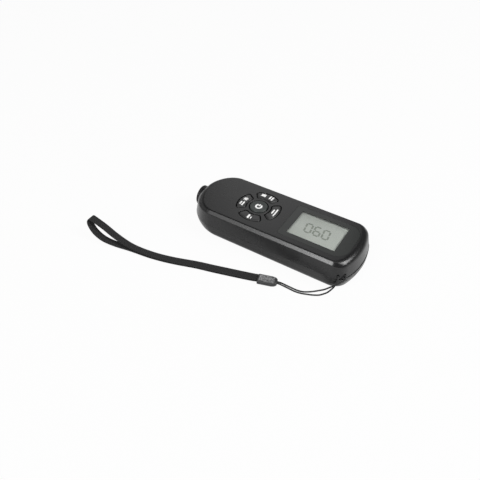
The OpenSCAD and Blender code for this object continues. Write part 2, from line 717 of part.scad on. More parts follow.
module strap_slider() {
  tail_w = slider_w * 0.66;
  r = 1.4;
  cord_slot = 2 * cord_d + 0.6;
  cord_hole_l = 3;
  web_hole_l = 4;
  web_slot = 2 * web_t + 0.5;
  color("#6a6a6a") translate([SLIDER_AT.x, SLIDER_AT.y, fit]) rotate(slider_turn) difference() {
    hull() for (s = [-1, 1]) {
      translate([r - slider_l / 2, s * (slider_w / 2 - r), 0]) cylinder(h = slider_h, r = r, $fn = 32);
      translate([slider_l / 2 - 2 * r, s * (slider_w / 2 - r), 0]) cylinder(h = slider_h, r = r, $fn = 32);
      translate([slider_l / 2 - r, s * (tail_w / 2 - r), 0]) cylinder(h = slider_h, r = r, $fn = 32);
    }
    // Slot for the two layers of webbing, and a hole for the two cord strands
    translate([-slider_l / 2 - 1, -web_w / 2 - fit, (slider_h - web_slot) / 2])
      cube([web_hole_l + 1, web_w + 2 * fit, web_slot]);
    translate([slider_l / 2 - cord_hole_l, -cord_slot / 2, (slider_h - cord_d) / 2 - 0.3])
      cube([cord_hole_l + 1, cord_slot, cord_d + 0.6]);
  }
}

module strap_webbing() {
  color("#262626") band(curve(WEB, 2), web_w, web_t);
}

top_shell();
bottom_shell();
battery_door();
display_window();
lcd_glass();
lcd_frame();
zebra_strip();
main_board();
controller_chip();
buzzer();
key_switches();
power_key();
nose_key();
far_key();
display_key();
near_key();
board_screws();
housing_screws();
probe_collar();
collar_nut();
probe_sleeve();
probe_core();
probe_coil();
probe_spring();
cell_near();
cell_far();
battery_springs();
battery_plates();
lanyard_cord();
strap_slider();
strap_webbing();
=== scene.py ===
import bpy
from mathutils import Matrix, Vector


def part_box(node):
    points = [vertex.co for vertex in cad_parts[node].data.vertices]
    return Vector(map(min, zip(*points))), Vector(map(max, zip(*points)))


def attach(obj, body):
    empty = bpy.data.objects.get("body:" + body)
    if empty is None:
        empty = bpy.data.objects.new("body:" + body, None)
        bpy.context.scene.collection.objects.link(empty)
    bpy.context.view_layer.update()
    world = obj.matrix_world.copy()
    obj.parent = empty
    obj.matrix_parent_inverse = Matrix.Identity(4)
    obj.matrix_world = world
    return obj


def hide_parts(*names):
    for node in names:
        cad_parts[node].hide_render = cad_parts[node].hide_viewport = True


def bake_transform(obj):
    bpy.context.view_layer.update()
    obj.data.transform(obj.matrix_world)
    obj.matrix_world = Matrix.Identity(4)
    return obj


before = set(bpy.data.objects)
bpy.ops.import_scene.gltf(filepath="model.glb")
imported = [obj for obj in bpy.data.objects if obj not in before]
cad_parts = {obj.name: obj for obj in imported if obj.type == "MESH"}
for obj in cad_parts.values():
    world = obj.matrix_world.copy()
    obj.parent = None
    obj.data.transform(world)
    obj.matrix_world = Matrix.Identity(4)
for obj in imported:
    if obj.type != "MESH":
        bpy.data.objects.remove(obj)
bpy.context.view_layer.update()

import math

import bmesh
import bpy
import numpy as np
from mathutils import Vector

# Camera. It stands where the photograph was taken: off the display-end corner, 44 degrees above the table,
# 340 mm from the gauge, with a normal lens. The numbers come from a fit to the housing's edges.
MM = 0.001
aim = Vector((-12.84, -24.46, 10.0)) * MM
camera_away = 340.1
azimuth, elevation = math.radians(32.12), math.radians(43.64)
towards_camera = Vector((math.sin(azimuth) * math.cos(elevation), -math.cos(azimuth) * math.cos(elevation),
                         math.sin(elevation)))
camera = bpy.data.objects.new("photo_camera", bpy.data.cameras.new("photo_lens"))
camera.data.sensor_width, camera.data.lens = 36, 39.96
camera.data.clip_start, camera.data.clip_end = 0.01, 20
camera.location = aim + towards_camera * camera_away * MM
camera.rotation_mode = "QUATERNION"
camera.rotation_quaternion = (-towards_camera).to_track_quat("-Z", "Y")
bpy.context.scene.collection.objects.link(camera)
bpy.context.scene.camera = camera


# Wrist strap webbing. One narrow woven nylon band runs from the slider out along the table, turns over in a
# loose loop and comes back on top of itself into the slider. Its edges are woven a little thicker.
class Shade:
    """One value in a node tree. Arithmetic adds Math nodes, and node() adds a node of any other type."""

    def __init__(self, tree, socket=None):
        self.tree, self.socket = tree, socket

    def node(self, kind, inputs, out=0, **settings):
        """Output of a new node, whose settings are made first and whose sockets are then set or linked."""
        made = self.tree.nodes.new("ShaderNode" + kind)
        for name, value in settings.items():
            setattr(made, name, value)
        for name, value in inputs.items():
            if isinstance(value, Shade):
                self.tree.links.new(value.socket, made.inputs[name])
            else:
                made.inputs[name].default_value = value
        return Shade(self.tree, made.outputs[out])

    def math(self, operation, *values):
        """Result of a Math node."""
        return self.node("Math", dict(enumerate(values)), operation=operation)

    def wave(self):
        """Size of this value's sine, so a row of equal bumps."""
        return abs(self.math("SINE", self))

    def blend(self, low, high):
        """Colour that goes from low to high as this value goes from 0 to 1."""
        return self.node("Mix", {0: self, 6: (*low, 1), 7: (*high, 1)}, out=2, data_type="RGBA")

    def ramp(self, start, end):
        """0 up to start, 1 from end on, and straight between."""
        return self.node("MapRange", {"Value": self, "From Min": start, "From Max": end})

    def bump(self, strength, depth):
        """Normal of a surface that this value raises by up to a depth in metres."""
        return self.node("Bump", {"Height": self, "Strength": strength, "Distance": depth})

    def __add__(self, other):
        return self.math("ADD", self, other)

    def __sub__(self, other):
        return self.math("SUBTRACT", self, other)

    def __rsub__(self, other):
        return self.math("SUBTRACT", other, self)

    def __mul__(self, other):
        return self.math("MULTIPLY", self, other)

    def __gt__(self, other):
        return self.math("GREATER_THAN", self, other)

    def __abs__(self):
        return self.math("ABSOLUTE", self)

    __radd__, __rmul__ = __add__, __mul__


def new_finish(name):
    """A material and the start of its node tree."""
    material = bpy.data.materials.new(name)
    material.use_nodes = True
    return material, Shade(material.node_tree)


def set_finish(material, **sockets):
    """Sets or links the main shader's sockets; an underscore in a name stands for a space."""
    shader = material.node_tree.nodes["Principled BSDF"]
    for name, value in sockets.items():
        socket = shader.inputs[name.replace("_", " ")]
        if isinstance(value, Shade):
            material.node_tree.links.new(value.socket, socket)
        else:
            socket.default_value = value
    return material


def place(shade, along="Object"):
    """Position on the piece in millimetres, from Object coordinates, or from its UV map."""
    metres = shade.node("TexCoord", {}, out=along)
    return shade.node("VectorMath", {0: metres, 1: (1000, 1000, 1000)}, operation="MULTIPLY")


def split(vector):
    """The three numbers of a vector."""
    made = vector.node("SeparateXYZ", {0: vector})
    return [Shade(vector.tree, socket) for socket in made.socket.node.outputs]


def noise(shade, scale, detail):
    """Cloudy noise over the piece, with about scale clouds to a millimetre."""
    return shade.node("TexNoise", {"Vector": place(shade), "Scale": scale, "Detail": detail})


def smooth_route(points, steps):
    """Catmull-Rom curve: between two points it is a cubic whose slope at each is half the chord of that
    point's neighbours."""
    p = np.asarray(points, float)
    before, after = np.vstack((p[:1], p[:-2])), np.vstack((p[2:], p[-1:]))
    a, b, c, d = (q[:, None] for q in (before, p[:-1], p[1:], after))
    u = (np.arange(steps) / steps)[None, :, None]
    square, cube = 2 * a - 5 * b + 4 * c - d, 3 * b - a - 3 * c + d
    curve = 0.5 * (2 * b + (c - a) * u + square * u**2 + cube * u**3)
    return np.vstack((curve.reshape(-1, p.shape[1]), p[-1:]))


def headings(points):
    """Unit direction of a route at each of its points."""
    ahead = np.gradient(points, axis=0)
    return ahead / np.linalg.norm(ahead, axis=1)[:, None]


def run_lengths(points):
    """Distance along a route to each of its points: the sum of the steps before it."""
    return np.concatenate(([0], np.cumsum(np.linalg.norm(np.diff(points, axis=0), axis=1))))


def circle(count):
    """Angles of points evenly around a circle."""
    return np.linspace(0, 2 * np.pi, count, endpoint=False)


def squared(wave, power):
    """A sine or cosine drawn out towards a square: its size is raised to a power below 1, its sign kept."""
    return np.sign(wave) * np.abs(wave) ** power


def sweep(centre, side, up, x, y):
    """Profile carried along a route: each ring is the route's point, plus x of its side and y of its up."""
    return centre[:, None] + side[:, None] * x[None, :, None] + up[:, None] * y[None, :, None]


def ring_faces(rows, columns):
    """Quads between the rows of a grid of closed rings, with a face over the first and the last ring."""
    i, j = np.arange(rows - 1)[:, None] * columns, np.arange(columns)[None]
    k = (j + 1) % columns
    quads = np.stack((i + j, i + k, i + columns + k, i + columns + j), -1).reshape(-1, 4)
    return quads.tolist() + [list(range(columns)), list(range((rows - 1) * columns, rows * columns))]


def stacked(rings):
    """Closed solid through a stack of rings: its points and its faces."""
    rings = np.asarray(rings)
    return rings, ring_faces(len(rings), rings.shape[1])


def make_mesh(name, parts):
    """Mesh from parts, each of which is points in millimetres and faces."""
    mesh = bpy.data.meshes.new(name)
    points, faces, first = [], [], 0
    for p, f in parts:
        points.append(np.asarray(p, float).reshape(-1, 3))
        faces += [[first + i for i in face] for face in f]
        first += len(points[-1])
    mesh.from_pydata((np.vstack(points) * MM).tolist(), [], faces)
    return mesh


def turn_out(mesh):
    """Merges doubles, turns the faces outwards, and shades smoothly between edges sharper than 40 degrees."""
    work = bmesh.new()
    work.from_mesh(mesh)
    bmesh.ops.remove_doubles(work, verts=work.verts, dist=1e-8)
    bmesh.ops.recalc_face_normals(work, faces=work.faces)
    work.to_mesh(mesh)
    work.free()
    mesh.shade_smooth()
    mesh.set_sharp_from_angle(angle=math.radians(40))


def add_piece(name, shape, finish, body, slot, *stands_for):
    """Adds a mesh, or a list of parts, as a piece of the gauge that rides on a body and stands for CAD
    nodes. A piece with None for its body rides on none."""
    mesh = make_mesh(name, shape) if isinstance(shape, list) else shape
    turn_out(mesh)
    made = bpy.data.objects.new(name, mesh)
    bpy.context.scene.collection.objects.link(made)
    mesh.materials.append(finish)
    if body:
        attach(made, body)
    if stands_for:
        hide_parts(*stands_for)
    return made


def map_rings(mesh, across, along):
    """UV map of a swept mesh in metres: across is a value for each ring point, along one for each ring."""
    where = np.stack(np.meshgrid(across, along), -1).reshape(-1, 2) * MM
    corner = np.zeros(len(mesh.loops), np.int32)
    mesh.loops.foreach_get("vertex_index", corner)
    mesh.uv_layers.new(name="sweep").data.foreach_set("uv", where[corner].ravel().astype(np.float32))


web_width, web_thick = 5.0, 0.8
selvage_at, selvage_spread, selvage_share = 2.05, 0.3, 0.12
# The route of part.scad; each point is (x, y, z, direction of the band's width in plan, its tilt).
WEB = [
    [13.2, -38.8, 1.15, 107, 0], [9.7, -39.9, 1.15, 107, 2], [4.2, -41.5, 0.9, 106, 5],
    [-7.8, -44.9, 0.85, 105, 6], [-18.8, -47.9, 0.75, 105, 5], [-28.8, -50.5, 0.7, 106, 3],
    [-44.8, -55.6, 0.6, 105, -1], [-58.8, -59, 0.75, 102, -4], [-72.8, -61.1, 1.1, 99, -5],
    [-83.8, -63.4, 1.7, 96, -3], [-92.8, -64.9, 3.2, 93, -2], [-99.8, -64.7, 5.8, 90, 0],
    [-104.8, -63.2, 8.4, 88, 5], [-107.1, -61.7, 10.6, 86, 7], [-106.4, -60.5, 12.1, 86, 6],
    [-102.8, -60.4, 11.5, 88, 2], [-95.8, -60.2, 9, 90, 0], [-84.8, -60.4, 4.9, 93, -1],
    [-72.8, -60.4, 2.6, 98, -3], [-58.8, -58.7, 1.85, 102, -4], [-44.8, -55.5, 1.65, 105, -1],
    [-28.8, -50.5, 1.75, 106, 3], [-18.8, -47.9, 1.8, 105, 5], [-7.8, -44.9, 1.9, 105, 6],
    [4.2, -41.5, 1.95, 106, 5], [9.7, -39.9, 2.2, 107, 2], [13.2, -38.8, 2.2, 107, 0],
]
web_route = smooth_route(WEB, steps=14)
web_centre = web_route[:, :3]
plan, tilt = np.radians(web_route[:, 3:4]), np.radians(web_route[:, 4:5])
web_side = np.hstack((np.cos(plan) * np.cos(tilt), np.sin(plan) * np.cos(tilt), np.sin(tilt)))
web_up = np.cross(headings(web_centre), web_side)
web_up /= np.linalg.norm(web_up, axis=1)[:, None]
around = circle(32)
web_x = squared(np.cos(around), 0.4) * web_width / 2
web_y = squared(np.sin(around), 0.45) * web_thick / 2
selvage = np.exp(-(((np.abs(web_x) - selvage_at) / selvage_spread) ** 2))
web_y *= 1 - selvage_share + selvage_share * selvage
web_length = run_lengths(web_centre)
web_mesh = make_mesh("strap_webbing_weave", [stacked(sweep(web_centre, web_side, web_up, web_x, web_y))])
map_rings(web_mesh, web_x, web_length)

weave, s = new_finish("black_nylon_weave")
rib_step, pick_step = 0.83, 1.6
across, down, _ = split(place(s, "UV"))
rib = s.math("FLOOR", across * (1 / rib_step))
pick = (down * (math.pi / pick_step) + rib * (math.pi / 2)).wave()
warp = (across * (math.pi / rib_step)).wave()
thread_height_and_shade = pick * 0.65 + warp * 0.35
fuzz = noise(s, scale=1.4, detail=3)
# The colour is darker down between the threads, painted shade in the weave's hollows; the fuzz adds random
# tone.
tone = thread_height_and_shade * 0.9 + fuzz * 0.5 - 0.3
set_finish(weave, Base_Color=tone.blend((0.0005, 0.0005, 0.0005), (0.025, 0.025, 0.0255)),
           Roughness=0.78 + fuzz * 0.12, Specular_IOR_Level=0.35, Sheen_Weight=0.05, Sheen_Roughness=0.5,
           Normal=thread_height_and_shade.bump(strength=0.9, depth=0.00012))
webbing = add_piece("strap_webbing_weave", web_mesh, weave, "housing", "webbing", "strap_webbing")

# Lanyard cord. A thin braided nylon loop goes from the slider up the housing's corner, in through one slot,
# behind the wall, out through the other slot and back to the slider.
cord_radius = 0.5
# The route of part.scad; each point is (x, y, z).
CORD = [
    [19.7, -36.9, 1.7], [23.21, -35.8, 1.53], [26.81, -35.28, 0.91], [30.49, -35.13, 0.65],
    [34.18, -35.06, 0.59], [37.78, -34.31, 0.6], [40.96, -32.46, 0.6], [43.82, -30.13, 0.59],
    [46.51, -27.6, 0.69], [48.15, -26.42, 1.13], [49.48, -25.37, 1.81], [50.25, -24.87, 2.37],
    [51.02, -24.45, 3.01], [51.78, -24.13, 3.7], [52.53, -23.87, 4.43], [53.28, -23.62, 5.17],
    [54.03, -23.33, 5.9], [54.77, -22.96, 6.59], [55.49, -22.5, 7.24], [56.17, -21.93, 7.85],
    [56.82, -21.28, 8.42], [57.4, -20.57, 9], [57.83, -19.83, 9.65], [57.8, -19.04, 10.35],
    [57.1, -18.35, 10.75], [56.22, -17.74, 10.82], [55.29, -17.19, 10.81], [54.26, -16.91, 10.8],
    [53.24, -17.21, 10.8], [52.58, -18.05, 10.8], [52.53, -19.11, 10.81], [52.98, -20.08, 10.83],
    [53.58, -20.98, 10.78], [54.13, -21.75, 10.31], [54.3, -22.07, 9.32], [54.15, -22.06, 8.25],
    [53.93, -22.03, 7.19], [53.72, -22.09, 6.14], [53.51, -22.27, 5.09], [53.25, -22.58, 4.09],
    [52.93, -23.06, 3.18], [52.54, -23.71, 2.42], [52.11, -24.5, 1.82], [51.66, -25.37, 1.38],
    [50.95, -26.95, 0.95], [49.81, -28.58, 0.66], [47.5, -31.36, 0.6], [44.42, -33.29, 0.6],
    [41.06, -34.71, 0.6], [37.64, -35.96, 0.6], [34.06, -36.58, 0.59], [30.42, -36.58, 0.65],
    [26.79, -36.67, 0.92], [23.22, -37.11, 1.52], [19.7, -38, 1.7],
]
cord_line = smooth_route(CORD, steps=8)
cord_side = np.cross([0, 0, 1], headings(cord_line))
cord_side /= np.linalg.norm(cord_side, axis=1)[:, None]
cord_up = np.cross(headings(cord_line), cord_side)
around = circle(14)
cord_grid = sweep(cord_line, cord_side, cord_up, cord_radius * np.cos(around), cord_radius * np.sin(around))
cord_length = run_lengths(cord_line)
cord_mesh = make_mesh("lanyard_cord_braid", [stacked(cord_grid)])
map_rings(cord_mesh, np.abs(around - np.pi), cord_length)

braid, s = new_finish("black_cord_braid")
about, down, _ = split(place(s, "UV"))
strand_height_and_shade = (down * 7 + about * 2).wave() * (down * 7 - about * 2).wave()
# The colour is darker in the grooves between the strands: painted shade.
set_finish(braid, Base_Color=strand_height_and_shade.blend((0.004, 0.004, 0.004), (0.022, 0.022, 0.023)), Roughness=0.62,
           Sheen_Weight=0.1, Normal=strand_height_and_shade.bump(strength=0.8, depth=0.0001))
lanyard = add_piece("lanyard_cord_braid", cord_mesh, braid, "housing", "cord", "lanyard_cord")

# Strap slider. A moulded grey clip that holds both ends of the webbing in a mouth and the cord's ends in its
# tapered tail. Its top has a shallow sunk panel. Its colour holds painted light and shade: the panel's top
# face is grey with a mottle of painted highlights, and the rest is near black, painted shade.
slider_x, slider_y, slider_z = 15.8, -38.6, 1.65
slider_turn = math.radians(17)
slider_cos, slider_sin = math.cos(slider_turn), math.sin(slider_turn)
# Each ring is (place along the clip, half width, half height). The first two and the last two line its two
# mouths.
SLIDER_RINGS = np.array([
    [-2.2, 2.6, 1.05], [-5.6, 2.6, 1.05], [-6.0, 2.75, 1.18], [-6.1, 2.95, 1.3], [-6.02, 3.2, 1.45],
    [-5.8, 3.42, 1.52], [-5.4, 3.5, 1.55], [-4.6, 3.5, 1.55], [-3.8, 3.5, 1.55], [-3.0, 3.5, 1.55],
    [-2.0, 3.5, 1.55], [-1.0, 3.5, 1.55], [0, 3.5, 1.55], [1.0, 3.5, 1.55], [2.0, 3.5, 1.55],
    [2.8, 3.48, 1.55], [3.5, 3.38, 1.55], [4.2, 3.2, 1.54], [4.8, 2.96, 1.5], [5.3, 2.7, 1.42],
    [5.7, 2.4, 1.3], [5.95, 2.1, 1.15], [6.1, 1.8, 0.98], [6.05, 1.5, 0.85], [5.8, 1.3, 0.8],
    [3.2, 1.3, 0.8],
])
ring_steps, first_outside, last_outside = 4, 5, 21
panel_middle, panel_length, panel_width = -0.6, 4.3, 2.5
panel_edge, panel_depth = 0.5, 0.22
face_middle, face_length, face_width = -0.3, 5.0, 2.8
face_edge, face_above = 0.4, 2.5


def level_ends(share):
    """A share from 0 to 1 that starts and ends level: three times its square less twice its cube."""
    return share**2 * (3 - 2 * share)


slider_rows = smooth_route(SLIDER_RINGS, ring_steps)
run, wide, high = slider_rows[:, 0:1], slider_rows[:, 1:2], slider_rows[:, 2:3]
around = circle(72)
across, height = wide * squared(np.cos(around), 0.42), high * squared(np.sin(around), 0.5)
panel = (np.clip((panel_length - np.abs(run - panel_middle)) / panel_edge, 0, 1)
         * np.clip((panel_width - np.abs(across)) / panel_edge, 0, 1))
row = np.arange(len(slider_rows))[:, None]
on_top = (row > first_outside * ring_steps) & (row < last_outside * ring_steps) & (height > 0.5)
height = height - panel_depth * level_ends(panel) * on_top
slider_grid = np.stack((slider_x + run * slider_cos - across * slider_sin,
                        slider_y + run * slider_sin + across * slider_cos, slider_z + height), -1)

clip_grey, s = new_finish("slider_grey")
x, y, z = split(place(s))
speck = noise(s, scale=1.3, detail=4)
ahead, aside = x - slider_x, y - slider_y
along, over = ahead * slider_cos + aside * slider_sin, aside * slider_cos - ahead * slider_sin
inside_length = (face_length - abs(along - face_middle)).ramp(0, face_edge)
inside_width = (face_width - abs(over)).ramp(0, face_edge)
# Painted light: only the sunk panel's top face is grey, mottled with painted highlights of its relief; the
# clip's sides and rim stay near black as painted shade.
face = inside_length * inside_width * (z > face_above)
tone = face * (speck.ramp(0.38, 0.64) * 1.2 + 0.03) + speck * 0.1
set_finish(clip_grey, Base_Color=tone.blend((0.02, 0.02, 0.0205), (0.24, 0.24, 0.243)),
           Roughness=0.38 + speck * 0.15, Normal=speck.bump(strength=0.25, depth=0.00005))
slider = add_piece("strap_slider_clip", [stacked(slider_grid)], clip_grey, "housing", "slider",
                   "strap_slider")


# Lower shell. A black moulded tub with a drawn-back nose, a big round along its bottom edge, a fine trim
# line, and a tongue that locates the upper shell. It holds the cell bay, the door's seat and four screw
# bosses.
def box_mm(node):
    """Lowest and highest corner of a CAD node in millimetres."""
    return np.round(np.array(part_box(node)) / MM, 3)


display_reach, half_width, top_z = box_mm("top_shell")[1]
parting_z = 8.7
display_corner, display_bow, display_rake = 10, 48, 0.5
nose_reach, nose_corner, nose_bow, nose_rake = 58, 20, 100, 6
corner_points, bow_points = 31, 15
end_points = 2 * corner_points + bow_points


def end_outline(reach, half, radius, bow):
    """Plan of a housing end that faces +x, at each height: a bow of a large radius meets a corner arc
    tangentially on each side. The angle where they meet has (half - radius) / (bow - radius) as its sine."""
    lean = np.arcsin((half - radius) / (bow - radius))
    corner = (np.pi / 2 - lean) * np.linspace(0, 1, corner_points) - np.pi / 2
    middle = lean * np.linspace(-1, 1, bow_points + 2)[1:-1]
    x = reach - bow + (bow - radius) * np.cos(lean) + radius * np.cos(corner)
    y = radius * np.sin(corner) - (half - radius)
    return (np.hstack((x, reach - bow + bow * np.cos(middle), x[:, ::-1])),
            np.hstack((y, bow * np.sin(middle), -y[:, ::-1])))


def housing_rings(profile, lip=0):
    """Housing outline at each (height, inset) of a profile, inwards by the inset. Straight sides join the two
    ends. Below the parting line both ends go back with the square of the depth. The lip moves the display
    end outwards."""
    z, inset = (v[:, None] for v in np.asarray(profile, float).T)
    under = np.maximum(0, 1 - z / parting_z) ** 2
    display_x, display_y = end_outline(display_reach + lip - inset - display_rake * under, half_width - inset,
                                       display_corner - inset, display_bow - inset)
    nose_x, nose_y = end_outline(nose_reach - inset - nose_rake * under, half_width - inset,
                                 nose_corner - inset, nose_bow - inset)
    x = np.hstack((display_x, -nose_x))
    return np.stack((x, np.hstack((display_y, -nose_y)), z + 0 * x), -1)


def eased(corners, steps=6):
    """Profile through corners of two coordinates and an ease, such as (height, inset, ease). Each corner is
    cut back by its ease and rounded with a parabola."""
    corners = np.asarray(corners, float)
    p, ease = corners[:, :2], corners[:, 2:]
    way = np.diff(p, axis=0)
    way /= np.linalg.norm(way, axis=1)[:, None]
    t = np.linspace(0, 1, steps)[:, None, None]
    a, b = p - np.vstack((way[:1], way)) * ease, p + np.vstack((way, way[-1:])) * ease
    line = ((1 - t) ** 2 * a + 2 * t * (1 - t) * p + t**2 * b).transpose(1, 0, 2).reshape(-1, 2)
    return line[np.r_[True, np.linalg.norm(np.diff(line, axis=0), axis=1) > 1e-6]]


def at_height(x, y, z):
    """Ring of plan points at one height."""
    return np.stack((x, y, np.full(len(x), float(z))), -1)


def corner_angles(count):
    """Angles of four quarter arcs in turn, one for each corner of a rectangle from the +x, +y one on."""
    t = np.linspace(0, np.pi / 2, count)
    return np.concatenate((t, t + np.pi / 2, t + np.pi, t + 1.5 * np.pi))


def box_ring(x0, x1, y0, y1, z, radius=0.6, count=12):
    """Rectangle with rounded corners at one height."""
    t = corner_angles(count)
    cx = np.repeat([x1 - radius, x0 + radius, x0 + radius, x1 - radius], count)
    cy = np.repeat([y1 - radius, y1 - radius, y0 + radius, y0 + radius], count)
    return at_height(cx + radius * np.cos(t), cy + radius * np.sin(t), z)


def round_ring(x, y, radius, z, count=48):
    """Circle at one height."""
    t = circle(count)
    return at_height(x + radius * np.cos(t), y + radius * np.sin(t), z)


def carve(mesh, operation, *solids):
    """Joins solids to a mesh or cuts them out of it, and returns the result."""
    made = []
    for source in (mesh, make_mesh("carver", solids)):
        turn_out(source)
        made.append(bpy.data.objects.new("carving", source))
        bpy.context.scene.collection.objects.link(made[-1])
    step = made[0].modifiers.new("carve", "BOOLEAN")
    step.operation, step.object, step.solver = operation, made[1], "EXACT"
    depsgraph = bpy.context.evaluated_depsgraph_get()
    result = bpy.data.meshes.new_from_object(made[0].evaluated_get(depsgraph))
    for o in made:
        bpy.data.objects.remove(o)
    return result


probe_z = box_mm("probe_collar")[:, 2].mean()
bore_radius, bore_x = 7.2, (-70, -53.8)


def nose_bore():
    """Round cutter through the nose wall on the probe's axis."""
    t = circle(96)
    ring = np.stack((0 * t, bore_radius * np.cos(t), probe_z + bore_radius * np.sin(t)), -1)
    return stacked([ring + [x, 0, 0] for x in bore_x])


slot_corner_x, slot_corner_y = 48.09, -12.5
slot_half, slot_round, slot_low, slot_high = 0.75, 0.7, 9.3, 12.3
slot_angles, slot_reach = (-57, -33), (5.5, 13)


def lanyard_slots():
    """Cutters of the two lanyard slots, square to the corner's arc and rounded at their ends."""
    made = []
    for angle in np.radians(slot_angles):
        c, n = np.cos(angle), np.sin(angle)
        rings = np.stack([box_ring(-slot_half, slot_half, slot_low, slot_high, u, slot_round, 6)
                          for u in slot_reach])
        v, z, u = rings[..., 0], rings[..., 1], rings[..., 2]
        made.append(stacked(np.stack((slot_corner_x + u * c - v * n, slot_corner_y + u * n + v * c, z), -1)))
    return made


shell_lip, bottom_round, bottom_inset = 0.6, 3.5, 6
quarter = np.radians(np.linspace(0, 90, 15))[1:]
# Inside of the tub as (height, inset), from its floor up to the top of its tongue and down outside that.
INNER_WALL = [(2.4, 3.33), (4, 2), (10.1, 2), (10.1, 1.1), (8.45, 1.1)]


def wall_rings(top, ease, trim, swell):
    """Rings of the tub's outer wall, with its top edge at the given height, the trim line cut to the given
    depth, and a quarter round at the bottom. The wall above that swells outwards by the given amount."""
    upper = eased([(top, 1, 0), (top, -swell, ease), (6.05, -swell, 0.1), (5.85, trim - swell, 0.1),
                   (5.6, trim - swell, 0.1), (5.4, -swell, 0.1), (bottom_round, 0, 0)])
    lower = bottom_round * (1 - np.stack((np.sin(quarter), np.cos(quarter)), -1))
    return housing_rings(np.vstack((upper, lower, [[0, bottom_inset]])), shell_lip)


def towards_ends(sides, display, nose, blend_points=22):
    """Rings that follow one set along the sides and pass smoothly into two others around the display end,
    which comes first in a ring, and the nose, which is the rest. The change takes up blend_points points of
    each corner."""
    from_side = np.minimum(np.arange(end_points), np.arange(end_points)[::-1])
    share = level_ends(np.clip(from_side / blend_points, 0, 1))[None, :, None]
    ends = np.concatenate((display[:, :end_points], nose[:, end_points:]), 1)
    return sides + np.tile(share, (1, 2, 1)) * (ends - sides)


bay_x, bay_half, bay_z = (-5.6, 44.4), 10.8, 12.6
bay_wall, bay_wall_z = 1.2, (1.5, 13.4)
door_ledge, door_seat_z, underside_cut = 2.4, 1.3, -1
boss_r, boss_z = 3, (2, 8.6)
screw_places = [(x, y) for x in (-36, 50.9) for y in (-13, 13)]


def bay_ring(grow, z):
    """Outline of the cell bay, grown all round."""
    return box_ring(bay_x[0] - grow, bay_x[1] + grow, -bay_half - grow, bay_half + grow, z)


plain_wall = wall_rings(top=8.68, ease=0.1, trim=0.04, swell=0)
swollen_wall = wall_rings(top=8.45, ease=0.3, trim=0.3, swell=0.6)
outer_wall = towards_ends(plain_wall, swollen_wall, plain_wall)
shell = make_mesh("lower_shell", [stacked(np.concatenate((housing_rings(INNER_WALL), outer_wall)))])
shell = carve(shell, "UNION", stacked([bay_ring(bay_wall, z) for z in bay_wall_z]),
              *[stacked([round_ring(x, y, boss_r, z) for z in boss_z]) for x, y in screw_places])
door_and_bay = [bay_ring(door_ledge, underside_cut), bay_ring(door_ledge, door_seat_z),
                bay_ring(0, door_seat_z), bay_ring(0, bay_z)]
# Each screw hole as (radius, height): the head's counterbore, then the shank's hole.
screw_hole = ((2.2, underside_cut), (2.2, 3.2), (1.1, 3.2), (1.1, 9))
shell = carve(shell, "DIFFERENCE", nose_bore(), *lanyard_slots(), stacked(door_and_bay),
              *[stacked([round_ring(x, y, r, z) for r, z in screw_hole]) for x, y in screw_places])


def moulded_black(name, colour, rough, gloss=0.5):
    """Black moulded plastic: fine sparked grain, faint drifts of tone and sheen."""
    material, s = new_finish(name)
    grain, drift = noise(s, scale=4.5, detail=2), noise(s, scale=0.06, detail=3)
    low, high = ([v * k for v in colour] for k in (0.88, 1.12))
    return set_finish(material, Base_Color=(drift * 0.7 + grain * 0.3).blend(low, high),
                      Roughness=drift * 0.1 + (rough - 0.05), Specular_IOR_Level=gloss,
                      Normal=grain.bump(strength=0.12, depth=0.00004))


def keep_flat(piece):
    """Shades large faces flat, so that a round beside one takes all the bending of the light."""
    piece.modifiers.new("flat faces stay flat", "WEIGHTED_NORMAL").keep_sharp = True


housing_black = moulded_black("housing_black", (0.0105, 0.0105, 0.0108), rough=0.27)
keep_flat(add_piece("lower_shell", shell, housing_black, "housing", "housing", "bottom_shell"))

# Upper shell. A black moulded lid with drafted walls, a flat along its top edge, five key openings with
# rounded rims, a pocket for the window panel with the display opening in its floor, and the nose bore.
keypad_x = np.round(box_mm("power_key")[:, 0].mean(), 3)
petal_in, petal_out, petal_corner, petal_half = 8.7, 14.3, 1.3, math.radians(34)
petal_turns = {"nose_key": 180, "far_key": 90, "display_key": 0, "near_key": -90}


def polar(radius, angle):
    """Plan points at a radius and an angle."""
    return radius * np.stack((np.cos(angle), np.sin(angle)), -1)


def petal_ring(turn, grow, z, arc_points=21, bend_points=9):
    """Outline of a petal key turned about the keypad and grown all round: part of a ring with rounded
    corners. Each corner arc touches one of the ring's arcs and the straight side."""
    outer, inner = petal_out - petal_corner, petal_in + petal_corner
    out_turn = petal_half - math.asin(petal_corner / outer)
    in_turn = petal_half - math.asin(petal_corner / inner)
    side, bend = petal_half + np.pi / 2, petal_corner + grow
    arc = polar(petal_out + grow, np.linspace(-1, 1, arc_points) * out_turn)
    first = polar(outer, out_turn) + polar(bend, np.linspace(out_turn, side, bend_points))
    second = polar(inner, in_turn) + polar(bend, np.linspace(side, in_turn + np.pi, bend_points))
    hollow = polar(petal_in - grow, np.linspace(1, -1, arc_points) * in_turn)
    other_second, other_first = (second * [1, -1])[::-1], (first[1:-1] * [1, -1])[::-1]
    x, y = np.vstack((arc, first[1:], second, hollow[1:-1], other_second, other_first)).T
    c, n = math.cos(math.radians(turn)), math.sin(math.radians(turn))
    return at_height(keypad_x + x * c - y * n, x * n + y * c, z)


pane_fit, pane_end_corner, pane_key_corner = 0.1, 9.0, 2.0
(pane_x0, _, pane_z0), (pane_x1, pane_half, _) = np.round(box_mm("display_window"), 2)


